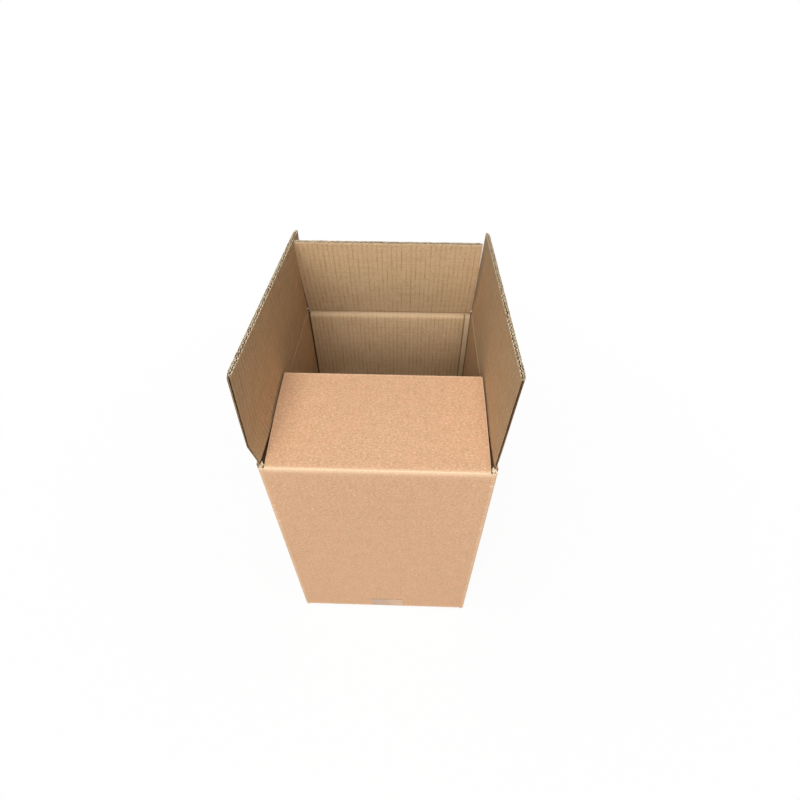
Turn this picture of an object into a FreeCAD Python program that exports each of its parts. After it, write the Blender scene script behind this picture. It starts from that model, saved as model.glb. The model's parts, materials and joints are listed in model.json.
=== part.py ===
"""A regular slotted box folded from double-wall corrugated board, standing open.

Units are millimetres. X runs across the box, Y from front to back and Z up.
The origin is the middle of the footprint, on the floor.

One folded sheet makes the four walls, the glued joint and the four bottom flaps.
The four top flaps belong to the same sheet, but each turns about its crease,
so each is a piece of its own. One strip of tape closes the bottom.
"""

import FreeCAD, Part
import math
import os
import re
import Sketcher

# The driving sizes.
SIZES = {
    # the room inside the closed box
    "inside_width": 300,
    "inside_depth": 350,
    "inside_height": 440,
    # the board, from the inside out: liner, C flutes, liner, B flutes, liner
    "liner": 0.3,
    "medium": 0.25,
    "inner_space": 3.4,
    "inner_pitch": 7.78,
    "inner_glue_line": 1.0,
    "inner_crest_radius": 0.92,
    "outer_space": 2.2,
    "outer_pitch": 5.84,
    "outer_glue_line": 0.8,
    "outer_crest_radius": 0.8,
    # the flaps, measured from their creases
    "side_flap_length": 151,
    "slot_play": 1,
    "layer_gap": 0.3,
    # the creases
    "fold_radius": 3,
    "fold_reach": 7,
    "crease_depth": 0.9,
    "crease_gap": 0.3,
    "crease_reach": 8,
    "crush_length": 9,
    "flute_margin": 3,
    # the glued joint at the back
    "tab_width": 40,
    "tab_thickness": 3.5,
    "tab_drop": 20,
    "tab_taper": 10,
    "tab_corner": 1.5,
    # the tape under the bottom seam and up both ends
    "tape_width": 60,
    "tape_thickness": 0.1,
    "tape_clear": 0.05,
    "tape_rise": 40,
    "tape_shift": 6,
    "tape_side_play": 0.3,
    # how far a cut runs past the board
    "overcut": 1,
    # how the flaps stand: degrees outward from upright
    "front_lean": -80,
    "back_lean": -12.5,
    "left_lean": -0.2,
    "right_lean": 1.7,
}

# What follows from the driving sizes.
DERIVED = {
    "board": "3 * liner + inner_space + outer_space",
    "half_width": "inside_width / 2 + board",
    "half_depth": "inside_depth / 2 + board",
    # two layers of flap lie on each other, below and above
    "layer_step": "board + layer_gap",
    # heights of the folds and of the crease axes
    "side_fold": "0",
    "end_fold": "side_fold + layer_step",
    "end_crease": "end_fold + board + inside_height + board - crease_depth",
    "side_crease": "end_crease + layer_step",
    "end_flap_length": "side_flap_length + layer_step",
    # a slot is as wide as a folded flap is thick, and a little more
    "slot_inset": "board + slot_play",
    # how far the walls and the top flaps run along the creases
    "end_wall_length": "2 * (half_width - fold_reach)",
    "side_wall_length": "2 * (half_depth - fold_reach)",
    "end_flap_width": "2 * (half_width - slot_inset)",
    "side_flap_width": "2 * (half_depth - slot_inset)",
    # the pressed channel that holds the tape
    "tape_recess": "tape_thickness + tape_clear",
    "channel_half": "tape_width / 2 + tape_side_play",
    # between the end walls' folds and the seam the tape falls on a slant
    "tape_bend": "end_fold + fold_radius / 2",
    "tape_fall": "tape_bend - tape_recess",
    "tape_slant": "sqrt(fold_reach ^ 2 + tape_fall ^ 2)",
}

# two places this close are one place
NEAR = 0.001

doc = FreeCAD.newDocument("corrugated_box")
sizes = doc.addObject("Spreadsheet::Sheet", "sizes")
for row, (word, number) in enumerate(SIZES.items(), start=1):
    sizes.set(f"A{row}", str(number))
    sizes.setAlias(f"A{row}", word)
doc.recompute()


def spelled(formula):
    """A formula with each derived word spelled out and each size as its cell."""

    def one_word(match):
        word = match.group()
        if word in DERIVED:
            return f"({spelled(DERIVED[word])})"
        return f"sizes.{word}" if word in SIZES else word

    return re.sub(r"[a-z_]+", one_word, formula)


def value(formula):
    """The number that a formula gives with the sheet's present sizes."""
    return float(sizes.evalExpression(spelled(formula)))


def bind(thing, prop, formula):
    thing.setExpression(prop, spelled(formula))


def new_body(name):
    body = doc.addObject("PartDesign::Body", name)
    body.Label = name
    return body


def new_sketch(body, name, plane, lift="0"):
    """An empty sketch on one of the body's own planes, lifted along its normal."""
    sketch = body.newObject("Sketcher::SketchObject", name)
    planes = {feature.Role: feature for feature in body.Origin.OriginFeatures}
    sketch.AttachmentSupport = (planes[plane], "")
    sketch.MapMode = "FlatFace"
    bind(sketch, "AttachmentOffset.Base.z", lift)
    return sketch


def hold_point(sketch, edge, end, x, y):
    """Hold one end of an edge (3 is an arc's centre) at two formulas."""
    for kind, formula in (("DistanceX", x), ("DistanceY", y)):
        held = Sketcher.Constraint(kind, -1, 1, edge, end, value(formula))
        bind(sketch, f"Constraints[{sketch.addConstraint(held)}]", formula)


def draw_outline(sketch, corners):
    """A closed outline of straight lines, each corner held by its two formulas."""
    points = [FreeCAD.Vector(value(x), value(y), 0) for x, y in corners]
    first = sketch.GeometryCount
    after = [first + (i + 1) % len(points) for i in range(len(points))]
    for i, point in enumerate(points):
        sketch.addGeometry(Part.LineSegment(point, points[(i + 1) % len(points)]), False)
    for i, following in enumerate(after):
        sketch.addConstraint(Sketcher.Constraint("Coincident", first + i, 2, following, 1))
    for i, (x, y) in enumerate(corners):
        hold_point(sketch, first + i, 1, x, y)


def pad(body, name, sketch, length, side="Symmetric"):
    feature = body.newObject("PartDesign::Pad", name)
    feature.Profile = sketch
    feature.SideType = side
    bind(feature, "Length", length)
    return feature


def round_edges(body, name, base, radius, chosen):
    """Round a pad's edges whose middle the test chooses."""
    doc.recompute()
    edges = [
        f"Edge{number}"
        for number, edge in enumerate(base.Shape.Edges, start=1)
        if chosen(edge.CenterOfMass)
    ]
    fillet = body.newObject("PartDesign::Fillet", name)
    fillet.Base = (base, edges)
    bind(fillet, "Radius", radius)
    return fillet


def draw_tunnel(sketch, centre, pitch, space, glue_line, crest_radius, floor, crest):
    """The open end of one flute: a flat floor on a liner under a rounded crest."""
    half_floor = f"({pitch} - {glue_line}) / 2"
    rise = 1 if value(crest) > value(floor) else -1
    axis_height = f"{crest} - {rise} * {crest_radius}"
    left, middle, right = f"{centre} - {half_floor}", centre, f"{centre} + {half_floor}"
    radius = value(crest_radius)
    hub = FreeCAD.Vector(value(middle), value(axis_height), 0)
    feet = [FreeCAD.Vector(value(x), value(floor), 0) for x in (left, right)]
    # an arc runs anticlockwise, so an upward crest starts on its right
    start = math.pi / 4 if rise > 0 else 5 * math.pi / 4
    circle = Part.Circle(hub, FreeCAD.Vector(0, 0, 1), radius)
    arc = Part.ArcOfCircle(circle, start, start + math.pi / 2)
    on_left, on_right = (2, 1) if rise > 0 else (1, 2)
    shoulders = [hub + FreeCAD.Vector(side, rise, 0) * (radius * math.sqrt(0.5)) for side in (-1, 1)]
    sketch.addGeometry(Part.LineSegment(feet[0], shoulders[0]), False)
    sketch.addGeometry(arc, False)
    sketch.addGeometry(Part.LineSegment(shoulders[1], feet[1]), False)
    sketch.addGeometry(Part.LineSegment(feet[1], feet[0]), False)
    sketch.addConstraint(Sketcher.Constraint("Tangent", 0, 2, 1, on_left))
    sketch.addConstraint(Sketcher.Constraint("Tangent", 1, on_right, 2, 1))
    sketch.addConstraint(Sketcher.Constraint("Coincident", 2, 2, 3, 1))
    sketch.addConstraint(Sketcher.Constraint("Coincident", 3, 2, 0, 1))
    hold_point(sketch, 0, 1, left, floor)
    hold_point(sketch, 3, 1, right, floor)
    hold_point(sketch, 1, 3, middle, axis_height)
    held = sketch.addConstraint(Sketcher.Constraint("Radius", 1, radius))
    bind(sketch, f"Constraints[{held}]", crest_radius)


def cut_flutes(body, name, width, start, layer, floor, crest, fewer=0):
    """A row of tunnels through a flap, from the crushed crease to the free edge."""
    pitch, glue_line = f"{layer}_pitch", f"{layer}_glue_line"
    count = f"(floor(({width} - 2 * flute_margin) / {pitch}) - {fewer})"
    first = f"-({count} - 1) * {pitch} / 2"
    sketch = new_sketch(body, f"{name}_end", "XY_Plane", start)
    draw_tunnel(
        sketch, first, pitch, f"{layer}_space", glue_line, f"{layer}_crest_radius", floor, crest
    )
    pocket = body.newObject("PartDesign::Pocket", f"{name}_tunnel")
    pocket.Profile = sketch
    pocket.Type = "ThroughAll"
    pocket.Reversed = True
    row = body.newObject("PartDesign::LinearPattern", f"{name}_row")
    row.Originals = [pocket]
    row.Direction = (sketch, ["H_Axis"])
    bind(row, "Length", f"({count} - 1) * {pitch}")
    bind(row, "Occurrences", count)
    body.Tip = row


def make_flap(name, width, length, heading, lean, hinge):
    """A top flap, built upright on its crease axis with its outer face towards -Y.

    The root is crushed to an edge on the axis: 45 degrees inside, where the flap
    folds shut, and a long shallow taper outside, where it folds back.
    """
    body = new_body(name)
    outer, inner = "-crease_depth", "board - crease_depth"
    profile = new_sketch(body, f"{name}_profile", "YZ_Plane")
    draw_outline(
        profile,
        [
            ("0", "crease_gap"),
            (inner, f"crease_gap + {inner}"),
            (inner, length),
            (outer, length),
            (outer, "crease_reach"),
        ],
    )
    pad(body, f"{name}_board", profile, width)
    doc.recompute()
    outer_floor = f"{outer} + liner"
    outer_roof = f"{outer_floor} + outer_space"
    inner_floor = f"{outer_roof} + liner"
    inner_roof = f"{inner_floor} + inner_space"
    rows = [
        ("outer", outer_floor, f"{outer_roof} - medium", 0),
        ("outer", outer_roof, f"{outer_floor} + medium", 1),
        ("inner", inner_floor, f"{inner_roof} - medium", 0),
        ("inner", inner_roof, f"{inner_floor} + medium", 1),
    ]
    for number, (layer, floor, crest, fewer) in enumerate(rows):
        row_name = f"{name}_{layer}_{number}"
        cut_flutes(body, row_name, width, "crush_length", layer, floor, crest, fewer)
    turn = FreeCAD.Rotation(FreeCAD.Vector(0, 0, 1), heading)
    tilt = FreeCAD.Rotation(FreeCAD.Vector(1, 0, 0), value(lean))
    corner = FreeCAD.Vector(*[value(formula) for formula in hinge])
    body.Placement = FreeCAD.Placement(corner, turn.multiply(tilt))
    return body


def make_wall(name, length, half_span, heading, fold, crease, flap_reach, channel=None):
    """One wall with its bottom flap, drawn as a section: Y inward from the outer face."""
    body = new_body(name)
    profile = new_sketch(body, f"{name}_profile", "YZ_Plane")
    underside = [(flap_reach, fold)]
    if channel:
        roof = f"{fold} + tape_recess"
        underside = [(channel, fold), (channel, roof), (flap_reach, roof)]
    outline = [
        ("0", fold),
        *underside,
        (flap_reach, f"{fold} + board"),
        ("board", f"{fold} + board"),
        ("board", f"{crease} - crease_gap - (board - crease_depth)"),
        ("crease_depth", f"{crease} - crease_gap"),
        ("0", f"{crease} - crease_reach"),
    ]
    draw_outline(profile, outline)
    board = pad(body, f"{name}_board", profile, length)
    low_edge = FreeCAD.Vector(0, 0, value(fold))
    round_edges(body, f"{name}_fold", board, "fold_radius", lambda at: at.isEqual(low_edge, NEAR))
    turn = FreeCAD.Rotation(FreeCAD.Vector(0, 0, 1), heading)
    body.Placement = FreeCAD.Placement(turn.multVec(FreeCAD.Vector(0, -value(half_span), 0)), turn)
    return body


def make_corner(name, side, end):
    """An upright crushed fold that joins two walls, in plan."""
    body = new_body(name)
    plan = new_sketch(body, f"{name}_plan", "XY_Plane", "end_fold")
    across, along = f"{side} * half_width", f"{end} * half_depth"

    def inward(x, y):
        return (f"{across} - {side} * ({x})", f"{along} - {end} * ({y})")

    draw_outline(
        plan,
        [
            inward("0", "0"),
            inward("fold_reach", "0"),
            inward("fold_reach", "board"),
            inward("board", "board"),
            inward("board", "fold_reach"),
            inward("0", "fold_reach"),
        ],
    )
    board = pad(body, f"{name}_board", plan, "end_crease - crease_gap - end_fold", "One side")

    def on_fold(at):
        return abs(at.x - value(across)) < NEAR and abs(at.y - value(along)) < NEAR

    round_edges(body, f"{name}_fold", board, "fold_radius", on_fold)
    return body


def make_tab():
    """The joint: the right wall's tab, pressed flat and glued on behind the back wall."""
    body = new_body("glue_tab")
    low, high = "end_fold + tab_drop", "end_crease - tab_drop"
    plan = new_sketch(body, "glue_tab_plan", "XY_Plane", low)
    draw_outline(
        plan,
        [
            ("half_width - tab_width", "half_depth"),
            ("half_width - tab_width", "half_depth + tab_thickness"),
            ("half_width - tab_corner", "half_depth + tab_thickness"),
            ("half_width", "half_depth + tab_thickness - tab_corner"),
            ("half_width", "half_depth - fold_radius"),
            ("half_width - fold_radius", "half_depth"),
        ],
    )
    pad(body, "glue_tab_board", plan, f"{high} - ({low})", "One side")
    doc.recompute()
    ends = new_sketch(body, "glue_tab_ends", "XZ_Plane")
    for level, slope in ((low, "tab_taper"), (high, "-tab_taper")):
        draw_outline(
            ends,
            [
                ("half_width - tab_width - overcut", level),
                ("half_width - fold_reach", level),
                ("half_width - tab_width - overcut", f"{level} + {slope}"),
            ],
        )
    cut = body.newObject("PartDesign::Pocket", "glue_tab_tapers")
    cut.Profile = ends
    cut.Type = "ThroughAll"
    cut.SideType = "Symmetric"
    return body


def make_tape():
    """The tape: flat under the seam, round both lower edges and up both end walls."""
    body = new_body("bottom_tape")
    path = new_sketch(body, "bottom_tape_path", "YZ_Plane")
    route = [
        # how far out from the middle, how high, and which way the film's thickness goes
        ("half_depth", "tape_rise", "tape_thickness", "0"),
        (
            "half_depth",
            "tape_bend",
            "tape_thickness",
            "tape_thickness * (tape_slant - tape_fall) / fold_reach",
        ),
        (
            "half_depth - fold_reach",
            "tape_recess",
            "tape_thickness * (tape_slant - fold_reach) / tape_fall",
            "tape_thickness",
        ),
    ]
    front_in = [(f"-({out})", up) for out, up, _, _ in route]
    front_out = [(f"-({out} + {more})", f"{up} - {less}") for out, up, more, less in route]
    back_in = [(out, up) for out, up, _, _ in route]
    back_out = [(f"{out} + {more}", f"{up} - {less}") for out, up, more, less in route]
    draw_outline(path, front_in + back_in[::-1] + back_out + front_out[::-1])
    film = pad(body, "bottom_tape_film", path, "tape_width")

    def bends(row):
        out, up = (value(formula) for formula in row)
        return lambda at: abs(abs(at.y) - out) < NEAR and abs(at.z - up) < NEAR

    inside = round_edges(body, "bottom_tape_bends_in", film, "fold_radius", bends(back_in[1]))
    outer_radius = "fold_radius + tape_thickness"
    round_edges(body, "bottom_tape_bends_out", inside, outer_radius, bends(back_out[1]))
    body.Placement.Base = FreeCAD.Vector(value("tape_shift"), 0, 0)
    return body


end_reach = "crease_depth + end_flap_length"
side_reach = "crease_depth + side_flap_length"
walls = [
    make_wall(
        "front_wall", "end_wall_length", "half_depth", 0, "end_fold", "end_crease", end_reach
    ),
    make_wall(
        "back_wall", "end_wall_length", "half_depth", 180, "end_fold", "end_crease", end_reach
    ),
    make_wall(
        "right_wall",
        "side_wall_length",
        "half_width",
        90,
        "side_fold",
        "side_crease",
        side_reach,
        "half_width - channel_half - tape_shift",
    ),
    make_wall(
        "left_wall",
        "side_wall_length",
        "half_width",
        -90,
        "side_fold",
        "side_crease",
        side_reach,
        "half_width - channel_half + tape_shift",
    ),
]
corners = [
    make_corner(f"corner_{place}", side, end)
    for place, side, end in (
        ("front_left", -1, -1),
        ("front_right", 1, -1),
        ("back_left", -1, 1),
        ("back_right", 1, 1),
    )
]
blank = doc.addObject("Part::MultiFuse", "box_body")
blank.Label = "box_body"
blank.Shapes = [*walls, *corners, make_tab()]

pieces = [
    blank,
    make_flap(
        "top_flap_front",
        "end_flap_width",
        "end_flap_length",
        0,
        "front_lean",
        ("0", "crease_depth - half_depth", "end_crease"),
    ),
    make_flap(
        "top_flap_back",
        "end_flap_width",
        "end_flap_length",
        180,
        "back_lean",
        ("0", "half_depth - crease_depth", "end_crease"),
    ),
    make_flap(
        "top_flap_left",
        "side_flap_width",
        "side_flap_length",
        -90,
        "left_lean",
        ("crease_depth - half_width", "0", "side_crease"),
    ),
    make_flap(
        "top_flap_right",
        "side_flap_width",
        "side_flap_length",
        90,
        "right_lean",
        ("half_width - crease_depth", "0", "side_crease"),
    ),
    make_tape(),
]

doc.recompute()
for thing in doc.Objects:
    if {"Invalid", "Error"} & set(thing.State):
        raise RuntimeError(f"{thing.Label} failed: {thing.State}")
for piece in pieces:
    shape = piece.Shape
    if shape.isNull() or not shape.isValid() or len(shape.Solids) != 1:
        raise RuntimeError(f"{piece.Label} is not one valid solid")

os.makedirs("parts", exist_ok=True)
for piece in pieces:
    piece.Shape.exportStep(f"parts/{piece.Label}.step")
    box = piece.Shape.BoundBox
    litres = piece.Shape.Volume / 1e6
    print(f"{piece.Label}: {litres:.4f} l, Z {box.ZMin:.2f} to {box.ZMax:.2f}")
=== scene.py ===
# %% [markdown]
# # A corrugated box, standing open
#
# The real thing is one folded sheet of double-wall board: three flat papers (liners)
# with two wavy papers (mediums) glued between them. What makes it look like board and
# not like wood is at its edges, where the waves show, and at its creases, where the
# sheet is crushed. So the waves here are modelled, not painted.

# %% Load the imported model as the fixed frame
import bmesh
import bpy
import json
import math
import numpy as np
from mathutils import Matrix, Vector, noise as smooth_noise


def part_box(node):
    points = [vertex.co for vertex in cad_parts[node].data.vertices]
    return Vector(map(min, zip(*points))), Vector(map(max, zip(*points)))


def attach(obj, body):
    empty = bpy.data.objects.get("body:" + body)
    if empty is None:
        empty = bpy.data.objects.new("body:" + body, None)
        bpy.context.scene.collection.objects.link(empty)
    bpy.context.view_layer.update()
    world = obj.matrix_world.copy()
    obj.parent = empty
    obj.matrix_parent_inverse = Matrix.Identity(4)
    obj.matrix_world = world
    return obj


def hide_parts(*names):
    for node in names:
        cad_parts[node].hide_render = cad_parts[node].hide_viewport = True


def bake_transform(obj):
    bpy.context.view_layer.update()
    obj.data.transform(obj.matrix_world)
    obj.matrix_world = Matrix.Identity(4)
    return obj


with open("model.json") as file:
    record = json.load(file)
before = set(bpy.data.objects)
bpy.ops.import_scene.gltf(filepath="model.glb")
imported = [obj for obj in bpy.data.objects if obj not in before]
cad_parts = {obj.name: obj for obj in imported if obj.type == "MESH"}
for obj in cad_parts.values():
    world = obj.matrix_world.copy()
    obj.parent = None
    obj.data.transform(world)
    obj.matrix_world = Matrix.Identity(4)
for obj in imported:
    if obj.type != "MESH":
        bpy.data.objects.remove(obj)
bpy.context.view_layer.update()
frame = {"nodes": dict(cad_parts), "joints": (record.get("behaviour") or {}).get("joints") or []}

# %% [markdown]
# ## Sizes
#
# The overall sizes come from the frame, so the looks follow the model. Only what the
# model doesn't hold, such as how a paper's edge frays, is a number of its own here.

# %% Sizes read from the frame
MM = 0.001
wall_low, wall_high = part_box("box_body")
half_width = wall_high.x
half_depth = -wall_low.y
joints = {joint["name"]: joint for joint in frame["joints"]}
end_crease = joints["front_crease"]["pos_m"][2]
side_crease = joints["left_crease"]["pos_m"][2]
crease_depth = half_depth + joints["front_crease"]["pos_m"][1]
layer_step = side_crease - end_crease
layer_gap = 0.3 * MM
board = layer_step - layer_gap
seed = 7
print(f"box {2 * half_width:.4f} x {2 * half_depth:.4f} m, board {board / MM:.1f} mm")

# %% The papers of the board, from the outside in
liner = 0.7 * MM
middle_liner = 0.6 * MM
medium = 0.68 * MM
outer_space = 1.9 * MM
inner_space = board - 2 * liner - middle_liner - outer_space
outer_pitch = 5.84 * MM
inner_pitch = 7.78 * MM
washboard = 0.07 * MM

# %% The creases and slots
crush_length = 9 * MM
slot_inset = 7.5 * MM
fold_reach = 7 * MM
fold_radius = 3 * MM
bottom_root = 13 * MM
seam_reach = {"end": 158.7 * MM, "side": 151.9 * MM}

# %% [markdown]
# ## Where each panel is
#
# Every wall and flap is first made in a plain frame of its own: across, up, and inset
# from the outer face. One small class turns that into the box's frame. It saves
# writing each wall four times, once for each direction.


# %% A wall's own frame
# from the box's middle to the wall's outer face, then up to its bottom fold and crease
spans = {"end": (half_depth, layer_step, end_crease), "side": (half_width, 0.0, side_crease)}


class Panel:
    """One wall with its flaps. Points are (across, up, inset from the outer face)."""

    def __init__(self, name, outward):
        self.name = name
        self.kind = "side" if outward[0] else "end"
        self.half_span, self.fold, self.crease = spans[self.kind]
        self.outward = np.array(outward, float)
        up = np.array((0.0, 0.0, 1.0))
        self.across = np.cross(up, -self.outward)
        self.axes = np.array([self.across, up, -self.outward])

    def place(self, points):
        """From the wall's own frame to the box's."""
        return self.outward * self.half_span + np.asarray(points) @ self.axes

    def lean(self, points, angle):
        """Turn points about the crease axis: outward is positive, one angle each."""
        across, up, inset = np.asarray(points).T
        rise, depth = up - self.crease, inset - crease_depth
        cosine, sine = np.cos(angle), np.sin(angle)
        turned_up = rise * cosine + depth * sine
        turned_in = depth * cosine - rise * sine
        return np.stack([across, turned_up + self.crease, turned_in + crease_depth], -1)


outwards = {"front": (0, -1, 0), "back": (0, 1, 0), "left": (-1, 0, 0), "right": (1, 0, 0)}
panels = {name: Panel(name, outward) for name, outward in outwards.items()}
half_length = {"end": half_width - fold_reach, "side": half_depth - fold_reach}
flap_half = {"end": half_width - slot_inset, "side": half_depth - slot_inset}


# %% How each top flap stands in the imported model
flap_length = {"side": 151.0 * MM, "end": 157.8 * MM}


def leaning_angle(panel):
    """The lean of a top flap, from its node's farthest corner, which is an inner one."""
    node = frame["nodes"][f"top_flap_{panel.name}"]
    points = np.array([vertex.co for vertex in node.data.vertices])
    out = points @ panel.outward - (panel.half_span - crease_depth)
    rise = points[:, 2] - panel.crease
    corner = np.argmax(np.hypot(out, rise))
    inner_skew = math.atan2(board - crease_depth, flap_length[panel.kind])
    return math.atan2(out[corner], rise[corner]) + inner_skew


lean = {name: leaning_angle(panel) for name, panel in panels.items()}
print("leans:", {name: round(math.degrees(angle), 2) for name, angle in lean.items()})

# %% [markdown]
# ## Finishes
#
# Kraft paper is a mat of brown fibres: a warm tan ground, soft blotches a centimetre
# or two across, short pale fibres, dark mottle, and now and then a dark speck.
# The outside liner is pinker, with small crumbs in it. The inside one is duller, and it
# shows the flutes behind it as thin dark lines. The cut edges are the paper's pale inside.
# Everything is noise on the object's own coordinates or on the sheet's UV map, where
# U runs across the flutes and V along them, both in metres.


# %% Small helpers for node trees
def fill(node, inputs):
    """Link or set a node's inputs, given in order or by their names."""
    pairs = inputs.items() if isinstance(inputs, dict) else enumerate(inputs)
    for key, value in pairs:
        if isinstance(value, bpy.types.NodeSocket):
            node.id_data.links.new(value, node.inputs[key])
        else:
            node.inputs[key].default_value = value


def wire(tree, kind, inputs=(), out=0, **settings):
    """Add a node, set it up, fill its inputs and give back one output."""
    node = tree.nodes.new(kind)
    for name, value in settings.items():
        setattr(node, name, value)
    fill(node, inputs)
    return node.outputs[out]


def add(kind, inputs, out=0, **settings):
    """The same, in the tree of the first input that is another node's output."""
    values = inputs.values() if isinstance(inputs, dict) else inputs
    tree = next(v.id_data for v in values if isinstance(v, bpy.types.NodeSocket))
    return wire(tree, kind, inputs, out, **settings)


def maths(operation, *values, clamp=False):
    return add("ShaderNodeMath", values, operation=operation, use_clamp=clamp)


def times(first, second):
    return maths("MULTIPLY", first, second)


def vectors(operation, *values):
    return add("ShaderNodeVectorMath", values, operation=operation)


def one_of(vector, axis):
    """One of a vector's three numbers: 0 is x, 1 is y and 2 is z."""
    return add("ShaderNodeSeparateXYZ", [vector], axis)


def blend_colours(amount, first, second, mode="MIX"):
    inputs = {0: amount, 6: first, 7: second}
    settings = {"data_type": "RGBA", "blend_type": mode, "clamp_factor": True}
    return add("ShaderNodeMix", inputs, 2, **settings)


def noise(where, scale, detail, roughness, stretch=(1, 1, 1), shift=0.0):
    """Noise with its grain stretched: a small number makes it long in that direction."""
    spread = {"Vector": where, "Scale": stretch, "Location": (shift, shift, shift)}
    spread = add("ShaderNodeMapping", spread)
    inputs = {"Vector": spread, "Scale": scale, "Detail": detail, "Roughness": roughness}
    return add("ShaderNodeTexNoise", inputs)


def steps(value, low, high, bottom=0.0, top=1.0):
    """Value read through a ramp from low to high."""
    inputs = {0: value, 1: low, 2: high, 3: bottom, 4: top}
    return add("ShaderNodeMapRange", inputs, clamp=True)


def stain(colour, value, low, high, amount, other):
    """The colour with another mixed in, up to that amount, as value goes low to high."""
    return blend_colours(steps(value, low, high, 0.0, amount), colour, other)


def rgb(red, green, blue):
    """A colour given as it looks on a screen, 0 to 255."""
    return tuple(
        c / 12.92 if c <= 0.04045 else ((c + 0.055) / 1.055) ** 2.4
        for c in (red / 255, green / 255, blue / 255)
    ) + (1.0,)


# %% What every finish starts and ends with
def new_finish(name):
    """A new material, and where on the object each point is."""
    material = bpy.data.materials.new(name)
    material.use_nodes = True
    return material, wire(material.node_tree, "ShaderNodeTexCoord", out="Object")


def set_shader(colour, height, strength, depth, roughness, gloss):
    """Give the shader its colour, the height and depth of its relief, and its shine."""
    relief = {"Height": height, "Strength": strength, "Distance": depth}
    looks = {"Base Color": colour, "Normal": add("ShaderNodeBump", relief)}
    looks |= {"Roughness": roughness, "Specular IOR Level": gloss}
    fill(colour.id_data.nodes["Principled BSDF"], looks)


# %% The paper of the board
red_patch = rgb(226, 168, 136)
dark_speck = rgb(84, 56, 36)
# painted shade: the dark brown that crevices and gaps beside the flaps are painted
painted_shade_brown = rgb(92, 68, 46)


def paper(name, ground, dark, pale, flute_lines, grain):
    """A kraft paper: ground colour, its blotches, its fibres and the flutes behind it."""
    material, place = new_finish(name)
    tree = material.node_tree
    sheet = wire(tree, "ShaderNodeUVMap", uv_map="sheet")
    blotch = noise(place, 55, 3, 0.6)
    mottle = noise(place, 640, 4, 0.78)
    fibre = noise(sheet, 1000, 3, 0.65, (1.0, 0.3, 1.0))
    cross_fibre = noise(sheet, 1000, 3, 0.65, (0.2, 1.0, 1.0), 3.0)
    colour = stain(ground, blotch, 0.3, 0.72, 0.3, dark)
    colour = stain(colour, mottle, 0.42, 0.68, grain, dark)
    # crumbs about two millimetres long, and redder patches, where flutes don't show
    uneven = 1.0 - flute_lines
    crumb = noise(sheet, 460, 2, 0.6, (0.55, 1.0, 1.0), 6.0)
    colour = stain(colour, crumb, 0.52, 0.7, 0.33 * uneven, pale)
    colour = stain(colour, crumb, 0.5, 0.3, 0.55 * uneven, dark)
    patch = noise(place, 75, 2, 0.6, shift=7.0)
    colour = stain(colour, patch, 0.45, 0.62, 0.22 * uneven, red_patch)
    light_fibre = steps(maths("MAXIMUM", fibre, cross_fibre), 0.56, 0.72, 0.0, 0.9)
    colour = blend_colours(times(light_fibre, grain), colour, pale)
    speck = noise(place, 260, 1, 0.4, shift=9.0)
    colour = stain(colour, speck, 0.8, 0.83, 0.7, dark_speck)

    # the flutes print through as thin lines that come and go
    across = one_of(sheet, 0)
    wander = noise(sheet, 30, 2, 0.6, (1.0, 0.5, 1.0), 5.0)
    shifted = maths("ADD", across, times(wander, 1.6 * MM))
    turn = times(shifted, 2 * math.pi / inner_pitch)
    crest = maths("MULTIPLY_ADD", maths("COSINE", turn), 0.5, 0.5)
    thin_line = maths("POWER", crest, 9.0)
    patchy = steps(noise(sheet, 120, 3, 0.7, (1.0, 0.22, 1.0), 1.7), 0.36, 0.62)
    line = times(times(thin_line, patchy), flute_lines)
    colour = blend_colours(line, colour, dark, "MULTIPLY")
    streak = noise(sheet, 300, 2, 0.6, (0.05, 1.0, 1.0), 4.0)
    colour = stain(colour, streak, 0.5, 0.72, 0.14 + 0.4 * flute_lines, dark)

    # worn edges go pale; at the creases the pale is stretched paper and also a painted highlight,
    # and on the strip beside the glued joint it is a painted highlight
    wear = wire(tree, "ShaderNodeAttribute", out="Fac", attribute_name="wear")
    broken = steps(noise(place, 700, 2, 0.6, shift=2.0), 0.2, 0.6, 0.45, 1.0)
    colour = blend_colours(times(wear, broken), colour, pale)
    # below nothing, the value is painted shade, a dark brown, in crevices beside the flaps and at
    # the step by the glued joint
    fray_and_painted_shade = maths("MULTIPLY", wear, -1.0, clamp=True)
    colour = blend_colours(fray_and_painted_shade, colour, painted_shade_brown)

    height = maths("MULTIPLY_ADD", fibre, 0.5, times(mottle, 0.6))
    height = maths("ADD", height, times(crest, -0.8 * flute_lines))
    roughness = steps(mottle, 0.3, 0.7, 0.74, 0.9)
    set_shader(colour, height, 0.5, 0.2 * MM, roughness, 0.25)
    return material


outside = paper(
    "outside_liner", rgb(215, 172, 135), rgb(188, 142, 105), rgb(244, 214, 178), 0.06, 1.0
)
inside = paper(
    "inside_liner", rgb(215, 185, 145), rgb(176, 142, 102), rgb(234, 209, 172), 0.55, 0.9
)
print("papers:", outside.name, inside.name)


# %% The cut edges: pale fibre, darker where the wavy paper shows
def cut_paper(name, ground, dark):
    material, place = new_finish(name)
    fine = noise(place, 1500, 3, 0.7)
    patch = noise(place, 330, 2, 0.6, shift=4.0)
    colour = stain(ground, fine, 0.35, 0.7, 0.5, dark)
    colour = stain(colour, patch, 0.5, 0.62, 0.9, dark)
    set_shader(colour, fine, 0.8, 0.2 * MM, 0.9, 0.2)
    return material


cut_edge = cut_paper("cut_edge", rgb(255, 238, 204), rgb(146, 106, 68))
fluting = cut_paper("fluting_paper", rgb(96, 66, 40), rgb(52, 34, 20))
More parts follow.
